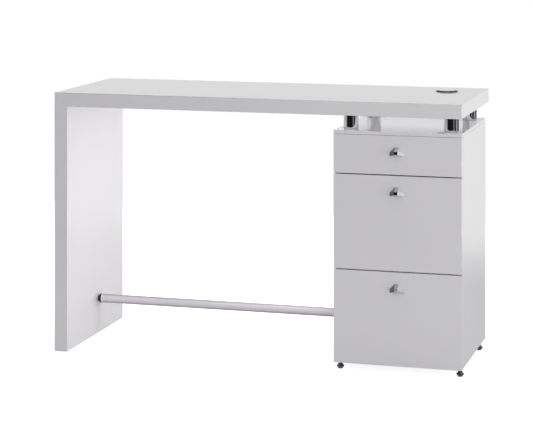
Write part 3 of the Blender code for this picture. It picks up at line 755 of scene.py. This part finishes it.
def build_grommet(looks):
    """The flanged ring and the raised cap with its cable slot."""
    low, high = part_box("grommet_ring")
    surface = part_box("table_top")[1].z
    place = upright_at("grommet_ring")
    flange = (high.x - low.x) / 2
    sleeve = GROMMET_HOLE_RADIUS - SLACK
    bore = sleeve - GROMMET_SLEEVE_WALL
    ledge = surface - GROMMET_LEDGE_DEPTH
    under = ledge - GROMMET_LEDGE_THICKNESS
    edge = GROMMET_BORE_EDGE
    profile = arc(bore + edge, high.z - edge, edge, 90, 180)
    profile += [(bore, ledge), (GROMMET_LEDGE_RADIUS, ledge), (GROMMET_LEDGE_RADIUS, under)]
    profile += [(bore, under), (bore, low.z), (sleeve, low.z), (sleeve, surface + SLACK)]
    profile += [(flange - TINY_EDGE, surface + SLACK), (flange, surface + SLACK + TINY_EDGE)]
    edge = GROMMET_FLANGE_EDGE
    profile += arc(flange - edge, high.z - edge, edge, 0, 90)
    ring = moved(turned_mesh("grommet_ring_mesh", profile, FINE_STEPS), place)
    show("grommet_ring_flange", ring, "table", looks["black_nickel"], ["grommet_ring"])

    low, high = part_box("grommet_cap")
    radius = (high.x - low.x) / 2
    profile = [(0, high.z), (radius - CAP_CROWN_WIDTH, high.z)]
    profile += arc(radius - CAP_EDGE, high.z - CAP_EDGE, CAP_EDGE, 80, 0)
    profile += [(radius, low.z + TINY_EDGE), (radius - TINY_EDGE, low.z), (0, low.z)]
    cap = turned_mesh("grommet_cap_mesh", profile, FINE_STEPS)
    half = CABLE_SLOT_WIDTH / 2
    slot_low = (-half, CABLE_SLOT_INNER, low.z - CUT_PAST)
    slot_high = (half, 2 * radius, high.z + CUT_PAST)
    slot = box_mesh("cable_slot", slot_low, slot_high)
    cap = moved(carve(cap, [(slot, Matrix.Identity(4))]), place)
    show("grommet_cap_disc", cap, "grommet_cap", looks["chrome"], ["grommet_cap"])


def build_foot(corner, looks):
    """A screw foot shaped like a spinning top."""
    node = f"levelling_foot_{corner}"
    low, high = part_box(node)
    pad = (high.x - low.x) / 2
    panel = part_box("pedestal_side_left")[0].z - SLACK
    profile = [(0, high.z), (FOOT_STEM_RADIUS - SMALL_EDGE, high.z)]
    profile += threads(FOOT_STEM_RADIUS, high.z - SMALL_EDGE, panel)
    profile += [(FOOT_NECK_RADIUS - SMALL_EDGE, panel), (FOOT_NECK_RADIUS, panel - SMALL_EDGE)]
    profile += [(FOOT_NECK_RADIUS, FOOT_NECK_LOW), (pad - FOOT_SHOULDER_INSET, FOOT_SHOULDER)]
    profile += [(pad - TINY_EDGE, FOOT_SHOULDER - FOOT_SHOULDER_DROP)]
    profile += arc(pad - FOOT_RIM_BEND, FOOT_RIM, FOOT_RIM_BEND, 35, -35, 4)
    profile += [(FOOT_SOLE_RADIUS, FOOT_SOLE_BEND)]
    profile += arc(FOOT_SOLE_RADIUS - FOOT_SOLE_BEND, FOOT_SOLE_BEND, FOOT_SOLE_BEND, 0, -90, 3)
    profile += [(0, 0)]
    foot = moved(turned_mesh(f"{node}_mesh", profile, FOOT_STEPS), upright_at(node))
    show(f"{node}_turned", foot, f"foot_{corner}", looks["worn_nickel"], [node])


def build_glide(place, looks):
    """A thin disc with a pin, under the leg panel."""
    node = f"leg_glide_{place}"
    low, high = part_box(node)
    radius = (high.x - low.x) / 2
    profile = [(0, high.z), (SMALL_EDGE, high.z), (GLIDE_PIN_RADIUS, high.z - GLIDE_PIN_POINT)]
    profile += [(GLIDE_PIN_RADIUS, GLIDE_HEIGHT), (radius - SMALL_EDGE, GLIDE_HEIGHT)]
    profile += arc(radius - GLIDE_BEND, GLIDE_BEND, GLIDE_BEND, 0, -90, 3)
    profile += [(0, 0)]
    glide = moved(turned_mesh(f"{node}_mesh", profile, BOLT_STEPS), upright_at(node))
    show(f"{node}_disc", glide, "table", looks["glide_plastic"], [node])


def flare(radius, height):
    """A socket's outside, from its ring down to its narrow foot: a quarter of a wave."""
    points = []
    for i in range(SOCKET_FLARE_STEPS + 1):
        share = 1 - i / SOCKET_FLARE_STEPS
        swell = SOCKET_FOOT_SHARE + (1 - SOCKET_FOOT_SHARE) * math.sin(share * math.pi / 2)
        points.append((radius * swell, height * share))
    return points


def build_rail_socket(side, rail, looks):
    """The flared dark cup at one end of the foot rail, and the bright ring on its rim."""
    node = f"rail_socket_{side}"
    low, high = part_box(node)
    centre = middle("foot_rail")
    outer = (high.z - low.z) / 2
    depth = high.x - low.x
    wall, direction = (low.x, 1) if side == "left" else (high.x, -1)
    place = along_axis((wall, centre.y, centre.z), (direction, 0, 0))
    bore = rail + SLACK
    profile = [(0, SOCKET_FLOOR), (bore, SOCKET_FLOOR), (bore, SOCKET_RING_START)]
    profile += flare(outer, SOCKET_RING_START) + [(0, 0)]
    cup = moved(turned_mesh(f"{node}_mesh", profile, sharp_deg=50), place)
    show(f"{node}_cup", cup, "table", looks["black_nickel"], [node])
    profile = [(bore, SOCKET_RING_START), (bore, depth), (bore + SMALL_EDGE, depth)]
    profile += [(outer, SOCKET_RING_START + SMALL_EDGE), (outer, SOCKET_RING_START)]
    ring = moved(turned_mesh(f"{node}_ring_mesh", profile), place)
    show(f"{node}_ring", ring, "table", looks["socket_ring_painted_highlight"])


def build_foot_rail(looks):
    """The satin tube and the socket at each of its ends."""
    low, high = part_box("foot_rail")
    centre = middle("foot_rail")
    radius = (high.z - low.z) / 2
    inner = radius - RAIL_WALL
    length = high.x - low.x
    profile = [(inner, length), (inner, 0), (radius - SMALL_EDGE, 0), (radius, SMALL_EDGE)]
    profile += [(radius, length - SMALL_EDGE), (radius - SMALL_EDGE, length)]
    start = along_axis((low.x, centre.y, centre.z), (1, 0, 0))
    tube = moved(turned_mesh("foot_rail_mesh", profile), start)
    show("foot_rail_tube", tube, "table", looks["satin_steel"], ["foot_rail"])
    for side in SIDES:
        build_rail_socket(side, radius, looks)


def screw_mesh(name, head_radius, head_height, shank_radius=0.0, shank=0.0):
    """A pan-head screw with a cross recess. Its shank runs up +Z from the head's underside at 0."""
    profile = [(0, shank)]
    if shank:
        profile += [(shank_radius - SCREW_POINT, shank)]
        profile += threads(
            shank_radius, shank - SCREW_POINT, 0.0, SCREW_THREAD_PITCH, SCREW_THREAD_DEPTH
        )
    profile += [(head_radius - SCREW_HEAD_EDGE, 0), (head_radius, -SCREW_HEAD_EDGE)]
    bend = SCREW_HEAD_BEND
    profile += arc(head_radius - bend, bend - head_height, bend, 0, -80, 4)
    profile += [(0, -head_height)]
    screw = turned_mesh(name, profile, SCREW_STEPS)
    reach = head_radius * RECESS_REACH
    floor = head_height * RECESS_DEPTH - head_height
    cutters = []
    for a, b in ((reach, RECESS_HALF_WIDTH), (RECESS_HALF_WIDTH, reach)):
        bar = box_mesh("recess", (-a, -b, -head_height - CUT_PAST), (a, b, floor))
        cutters.append((bar, Matrix.Identity(4)))
    return carve(screw, cutters)


def pull_mesh(name, back_y, reach, centre):
    """A faceted wedge: a wide foot, a narrow crest and a small square nose."""
    low, high = -PULL_HEIGHT / 2, PULL_HEIGHT / 2
    nose = (low + PULL_NOSE_RISE, low + PULL_NOSE_RISE + PULL_NOSE_SIZE)
    bm = bmesh.new()
    for sign in (-1, 1):
        bm.verts.new((sign * PULL_FOOT_WIDTH / 2, 0, low))
        bm.verts.new((sign * PULL_FOOT_WIDTH / 2, 0, low + PULL_END_HEIGHT))
        bm.verts.new((sign * PULL_CREST_WIDTH / 2, 0, high))
        for height in nose:
            bm.verts.new((sign * PULL_NOSE_SIZE / 2, -reach, height))
    bmesh.ops.convex_hull(bm, input=bm.verts)
    bmesh.ops.dissolve_limit(
        bm, angle_limit=math.radians(FLAT_ANGLE_DEG), verts=bm.verts[:], edges=bm.edges[:]
    )
    bmesh.ops.bevel(bm, geom=bm.edges[:], offset=PULL_EDGE, segments=EDGE_SEGMENTS, affect="EDGES")
    mesh = new_mesh(bm, name)
    mesh.shade_smooth()
    return moved(mesh, Matrix.Translation((centre.x, back_y, centre.z)))


def wrap_mesh(stem):
    """A drawer's two sides and back in one, open at the front, with a groove for the bottom."""
    low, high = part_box(f"{stem}_wrap")
    inner_low, inner_high = low.x + BOX_WALL, high.x - BOX_WALL
    inner_back = high.y - BOX_WALL
    outline = [
        (low.x, low.y, low.z), (inner_low, low.y, low.z),
        (inner_low, inner_back, low.z), (inner_high, inner_back, low.z),
        (inner_high, low.y, low.z), (high.x, low.y, low.z),
        (high.x, high.y, low.z), (low.x, high.y, low.z),
    ]
    wrap = prism_mesh(f"{stem}_wrap_mesh", outline, (0, 0, high.z - low.z), BOX_EDGE)
    floor_low, floor_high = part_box(f"{stem}_bottom")
    slack = Vector((SLACK, SLACK, SLACK))
    groove_low = floor_low - slack - Vector((0, BOX_WALL, 0))
    groove = box_mesh("bottom_groove", groove_low, floor_high + slack)
    return carve(wrap, [(groove, Matrix.Identity(4))])


def build_drawer(drawer, looks):
    """One drawer: its front, wrap, bottom, pull and screw."""
    body = f"{drawer}_drawer"
    stem = f"drawer_{drawer}"
    low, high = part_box(f"{stem}_front")
    front = box_mesh(f"{stem}_front_mesh", low, high, FRONT_EDGE)
    show(f"{stem}_front_panel", front, body, looks["lacquer"], [f"{stem}_front"])
    show(f"{stem}_wrap_box", wrap_mesh(stem), body, looks["melamine"], [f"{stem}_wrap"])
    low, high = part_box(f"{stem}_bottom")
    bottom = box_mesh(f"{stem}_bottom_mesh", low, high, TINY_EDGE)
    show(f"{stem}_bottom_panel", bottom, body, looks["melamine"], [f"{stem}_bottom"])

    low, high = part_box(f"{stem}_pull")
    screw_centre = middle(f"{stem}_pull_screw")
    pull = pull_mesh(f"{stem}_pull_mesh", high.y, high.y - low.y, screw_centre)
    show(f"{stem}_pull_wedge", pull, body, looks["chrome_painted_shade_highlight"], [f"{stem}_pull"])
    low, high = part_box(f"{stem}_pull_screw")
    head, shank = SCREW_HEAD_HEIGHT, high.y - low.y - SCREW_HEAD_HEIGHT
    screw = screw_mesh(
        f"{stem}_pull_screw_mesh", SCREW_HEAD_RADIUS, head, SCREW_SHANK_RADIUS, shank
    )
    place = along_axis((screw_centre.x, high.y - head, screw_centre.z), (0, -1, 0))
    show(f"{stem}_pull_screw_cross", moved(screw, place), body, looks["zinc_steel"],
         [f"{stem}_pull_screw"])


def round_cad_edges(node, width, look):
    """Keeps a CAD node and rounds its edges with modifiers."""
    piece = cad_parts[node]
    piece.data.materials.clear()
    piece.data.materials.append(look[0])
    weld = piece.modifiers.new("weld", "WELD")
    weld.merge_threshold = WELD_DISTANCE
    flatten = piece.modifiers.new("flatten", "DECIMATE")
    flatten.decimate_type = "DISSOLVE"
    flatten.angle_limit = math.radians(FLAT_ANGLE_DEG)
    bevel = piece.modifiers.new("bevel", "BEVEL")
    bevel.width = width
    bevel.segments = EDGE_SEGMENTS
    bevel.limit_method = "ANGLE"
    bevel.harden_normals = True


def build_slides(drawer, looks):
    """The folded slide members, and the screws that hold each drawer member to the drawer."""
    for side in SIDES:
        stem = f"slide_{drawer}_{side}"
        for member in ("cabinet", "middle", "drawer"):
            round_cad_edges(f"{stem}_{member}", SLIDE_EDGE, looks["zinc_steel"])
        low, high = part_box(f"{stem}_drawer")
        centre_z = (low.z + high.z) / 2
        if side == "left":
            web, inwards = high.x - SLIDE_SHEET, 1
        else:
            web, inwards = low.x + SLIDE_SHEET, -1
        for number, share in enumerate(SLIDE_SCREW_PLACES):
            name = f"{stem}_screw_{number + 1}"
            screw = screw_mesh(f"{name}_mesh", SLIDE_SCREW_RADIUS, SLIDE_SCREW_HEIGHT)
            y = low.y + (high.y - low.y) * share
            place = along_axis((web, y, centre_z), (inwards, 0, 0))
            show(name, moved(screw, place), f"{drawer}_drawer", looks["zinc_steel"])


# ---------------------------------------------------------------- studio


def build_floor():
    """A flat square sheet under the table."""
    bm = bmesh.new()
    bmesh.ops.create_grid(bm, x_segments=2, y_segments=2, size=FLOOR_HALF_SIZE)
    floor = bpy.data.objects.new("studio_floor", new_mesh(bm, "studio_floor_mesh"))
    floor.location.z = FLOOR_Z
    bpy.context.scene.collection.objects.link(floor)
    floor.data.materials.append(paper_floor())


# What polished faces see round the horizon: (turn from the drawers' side, towards +X, in
# degrees; brightness). White paper stands at the back, a grey card at the left, and dark cards
# at the drawers' side and at the right, where a thin bright strip shows between them.
HORIZON = (
    (-180, 1.0), (-168, 1.0), (-158, 0.91), (-152, 0.46), (-58, 0.46), (-52, 0.012), (34, 0.012),
    (38, 0.20), (54, 0.20), (58, 0.04), (84, 0.04), (87, 0.70), (93, 0.70), (96, 0.22),
    (124, 0.22), (130, 0.06), (154, 0.06), (160, 0.95), (180, 0.93),
)
# The same above the cards, and straight above
UPPER = 0.86
OVERHEAD = 0.48
UPPER_RISE = (0.01, 0.08)  # the height of a direction, from 0 to 1, where one fades into the next
OVERHEAD_RISE = (0.70, 0.90)
# Soft light of the room on matt surfaces: from the left, from the brighter right, and what the
# ceiling adds
ROOM_LEFT = 0.29
ROOM_RIGHT = 0.86
ROOM_TURN = (0.2, 0.9)  # how far a direction points to the right where left fades into right
ROOM_CEILING = 0.75
CEILING_RISE = (0.75, 0.98)


def build_world():
    """White to the camera, a soft graded room for matt light, and the horizon above for metal."""
    world = bpy.data.worlds.new("studio")
    bpy.context.scene.world = world
    world.use_nodes = True
    tree = world.node_tree
    tree.nodes.clear()

    def add(kind, **settings):
        node = tree.nodes.new(kind)
        for key, value in settings.items():
            setattr(node, key, value)
        return node

    def math_node(operation, first, second=None):
        node = add("ShaderNodeMath", operation=operation)
        for socket, value in zip(node.inputs, (first, second)):
            if isinstance(value, (int, float)):
                socket.default_value = value
            elif value is not None:
                tree.links.new(value, socket)
        return node.outputs["Value"]

    def fade(value, span, start=0.0, end=1.0):
        node = add("ShaderNodeMapRange", interpolation_type="SMOOTHSTEP")
        for socket, number in zip(node.inputs[1:5], (*span, start, end)):
            socket.default_value = number
        tree.links.new(value, node.inputs["Value"])
        return node.outputs["Result"]

    def mix(factor, first, second):
        node = add("ShaderNodeMix", data_type="FLOAT")
        for socket, value in zip(node.inputs[0:1] + node.inputs[2:4], (factor, first, second)):
            if isinstance(value, (int, float)):
                socket.default_value = value
            else:
                tree.links.new(value, socket)
        return node.outputs["Result"]

    direction = add("ShaderNodeSeparateXYZ")
    tree.links.new(add("ShaderNodeTexCoord").outputs["Generated"], direction.inputs["Vector"])
    x, y, z = (direction.outputs[axis] for axis in "XYZ")

    turn = math_node("ARCTAN2", x, math_node("MULTIPLY", y, -1.0))
    share = math_node("ADD", math_node("DIVIDE", turn, 2 * math.pi), 0.5)

    def ring(levels):
        ramp = add("ShaderNodeValToRGB")
        elements = ramp.color_ramp.elements
        while len(elements) < len(levels):
            elements.new(0.5)
        for element, (degrees, light) in zip(elements, levels):
            element.position = degrees / 360 + 0.5
            element.color = (light, light, light, 1.0)
        tree.links.new(share, ramp.inputs["Fac"])
        return ramp.outputs["Color"]

    for_metal = mix(fade(z, UPPER_RISE), ring(HORIZON), UPPER)
    for_metal = mix(fade(z, OVERHEAD_RISE), for_metal, OVERHEAD)

    for_matt = fade(x, ROOM_TURN, ROOM_LEFT, ROOM_RIGHT)
    for_matt = math_node("ADD", for_matt, fade(z, CEILING_RISE, 0.0, ROOM_CEILING))
    rays = add("ShaderNodeLightPath")
    light = mix(rays.outputs["Is Glossy Ray"], for_matt, for_metal)
    light = mix(rays.outputs["Is Camera Ray"], light, 1.0)
    background = add("ShaderNodeBackground")
    tree.links.new(light, background.inputs["Color"])
    output = add("ShaderNodeOutputWorld")
    tree.links.new(background.outputs["Background"], output.inputs["Surface"])


# Soft lights: (name, place, where it points, size, watts)
SOFTBOXES = (
    ("key_softbox", (0.9, -3.0, 1.1), (0.0, 0.0, 0.4), 1.2, 17.0),
    ("right_softbox", (2.6, -0.9, 0.6), (-0.3, 0.0, 0.4), 1.0, 6.0),
    ("left_softbox", (-2.8, 0.4, 1.2), (-0.6, 0.0, 0.4), 1.0, 7.0),
    ("back_softbox", (0.6, 2.6, 0.8), (0.2, 0.0, 0.6), 2.0, 24.0),
    ("knee_softbox", (0.235, 0.02, 0.47), (-0.56, 0.02, 0.47), 0.36, 1.8),
    ("gap_fill", (0.40, -0.04, 0.714), (0.40, -0.04, 0.60), 0.34, 0.12),
)


def build_light(name, place, target, size, watts):
    light = bpy.data.lights.new(name, "AREA")
    light.shape = "SQUARE"
    light.size = size
    light.energy = watts
    lamp = bpy.data.objects.new(name, light)
    lamp.location = place
    lamp.rotation_euler = (Vector(target) - Vector(place)).to_track_quat("-Z", "Y").to_euler()
    lamp.visible_glossy = False
    lamp.visible_camera = False
    bpy.context.scene.collection.objects.link(lamp)


def build_camera():
    camera = bpy.data.objects.new("camera", bpy.data.cameras.new("camera"))
    bpy.context.scene.collection.objects.link(camera)
    camera.location = CAMERA_PLACE
    camera.rotation_euler = (math.radians(90), 0, math.radians(CAMERA_YAW_DEG))
    camera.data.sensor_width = CAMERA_SENSOR_MM
    camera.data.lens = CAMERA_LENS_MM
    camera.data.clip_end = CAMERA_CLIP_END
    bpy.context.scene.camera = camera
    shift_at_first_place(camera)


def shift_at_first_place(camera):
    """Shifts the lens only while the camera stands at its first place, so other views stay centred."""
    driver = camera.data.driver_add("shift_y").driver
    driver.type = "SCRIPTED"
    for axis in "xy":
        variable = driver.variables.new()
        variable.name = axis
        variable.type = "TRANSFORMS"
        variable.targets[0].id = camera
        variable.targets[0].transform_type = f"LOC_{axis.upper()}"
    x, y, _ = CAMERA_PLACE
    away = f"abs(x - {x}) + abs(y - {y})"
    driver.expression = f"{CAMERA_SHIFT_Y} if {away} < {CAMERA_PLACE_TOLERANCE} else 0.0"


def main():
    looks = make_looks()
    build_top_and_leg(looks)
    build_spline(looks)
    build_panels(looks)
    for corner in CORNERS:
        build_post(corner, looks)
        build_post_bolt(corner, looks)
        build_foot(corner, looks)
    build_grommet(looks)
    for place in ("front", "back"):
        build_glide(place, looks)
    build_foot_rail(looks)
    for drawer in DRAWERS:
        build_drawer(drawer, looks)
        build_slides(drawer, looks)
    build_floor()
    build_world()
    for softbox in SOFTBOXES:
        build_light(*softbox)
    build_camera()
    bpy.context.scene.view_settings.view_transform = "Standard"


main()
